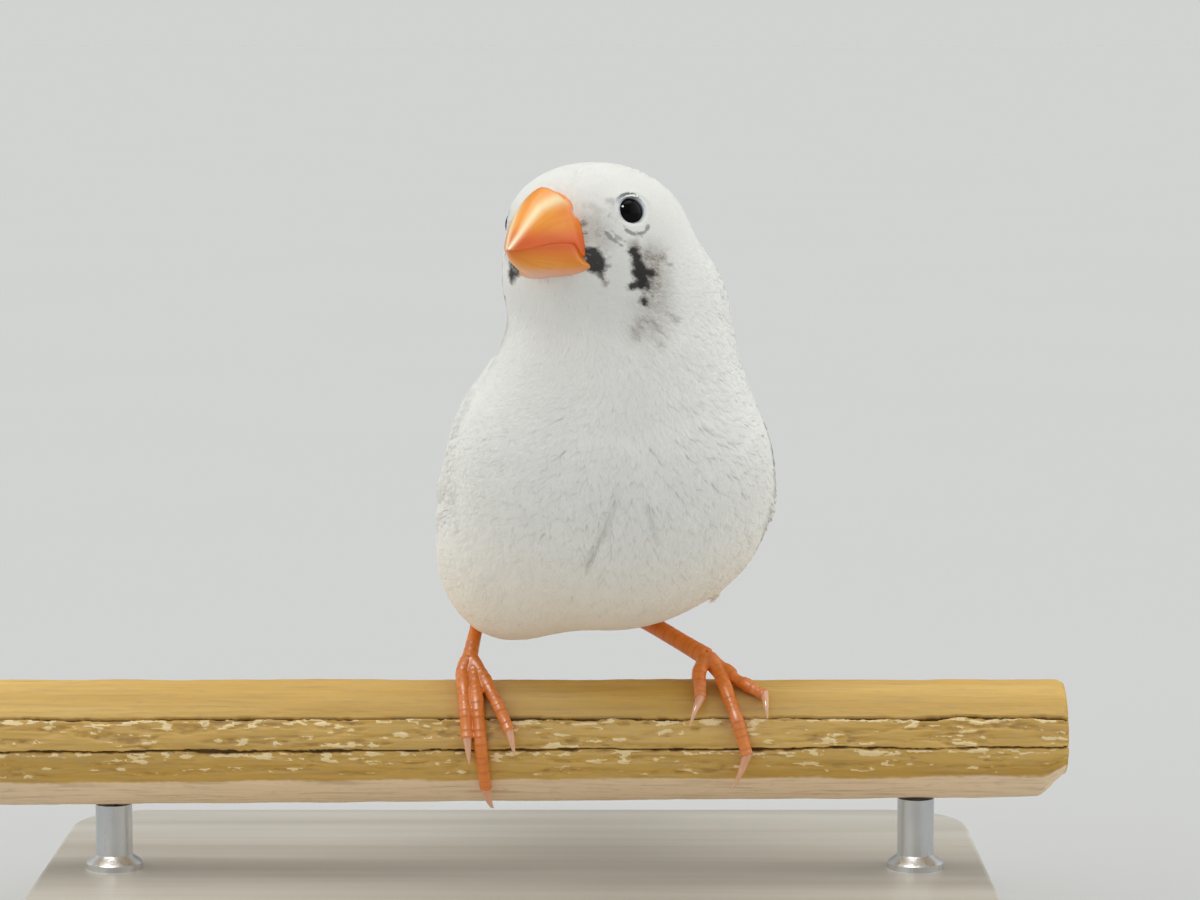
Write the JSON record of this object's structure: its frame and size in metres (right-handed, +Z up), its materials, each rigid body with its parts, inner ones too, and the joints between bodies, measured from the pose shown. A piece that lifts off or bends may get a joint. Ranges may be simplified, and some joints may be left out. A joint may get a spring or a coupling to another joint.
{
  "type": "zebra finch",
  "caption": "Life-size white zebra finch with an orange bill, gripping a short cut length of worn wooden perch on a plain display stand.",
  "frame": {"origin": "centre of the stand base's underside", "axes": "+Z up, +X along the perch towards the bird's left side, -Y the way the bird's breast faces"},
  "size_m": [0.12, 0.1, 0.0847],
  "materials": {
    "plumage": "soft white body feathers with a few black and grey-brown face marks",
    "flight_feathers": "smooth white vanes with a slight sheen",
    "bill": "waxy orange horn, glossy along the ridge",
    "eye": "wet black",
    "leg": "orange scaled skin, satin",
    "claw": "translucent pinkish horn",
    "perch": "bare worn wood with gnawed splinters and grooves",
    "stand_base": "pale limed wood, satin",
    "stand_rod": "satin"
  },
  "bodies": {
    "root": {"torso": "plumage", "neck": "plumage", "head": "plumage", "bill_upper": "bill", "bill_lower": "bill", "eye_left": "eye", "eye_right": "eye", "wing_left": "flight_feathers", "wing_right": "flight_feathers", "tail": "flight_feathers", "leg_left": "leg", "leg_right": "leg", "foot_left": "leg", "foot_right": "leg", "claw_left_outer": "claw", "claw_left_middle": "claw", "claw_left_inner": "claw", "claw_left_hind": "claw", "claw_right_outer": "claw", "claw_right_middle": "claw", "claw_right_inner": "claw", "claw_right_hind": "claw", "perch": "perch", "stand_base": "stand_base", "stand_rod_left": "stand_rod", "stand_rod_right": "stand_rod"}
  },
  "joints": []
}
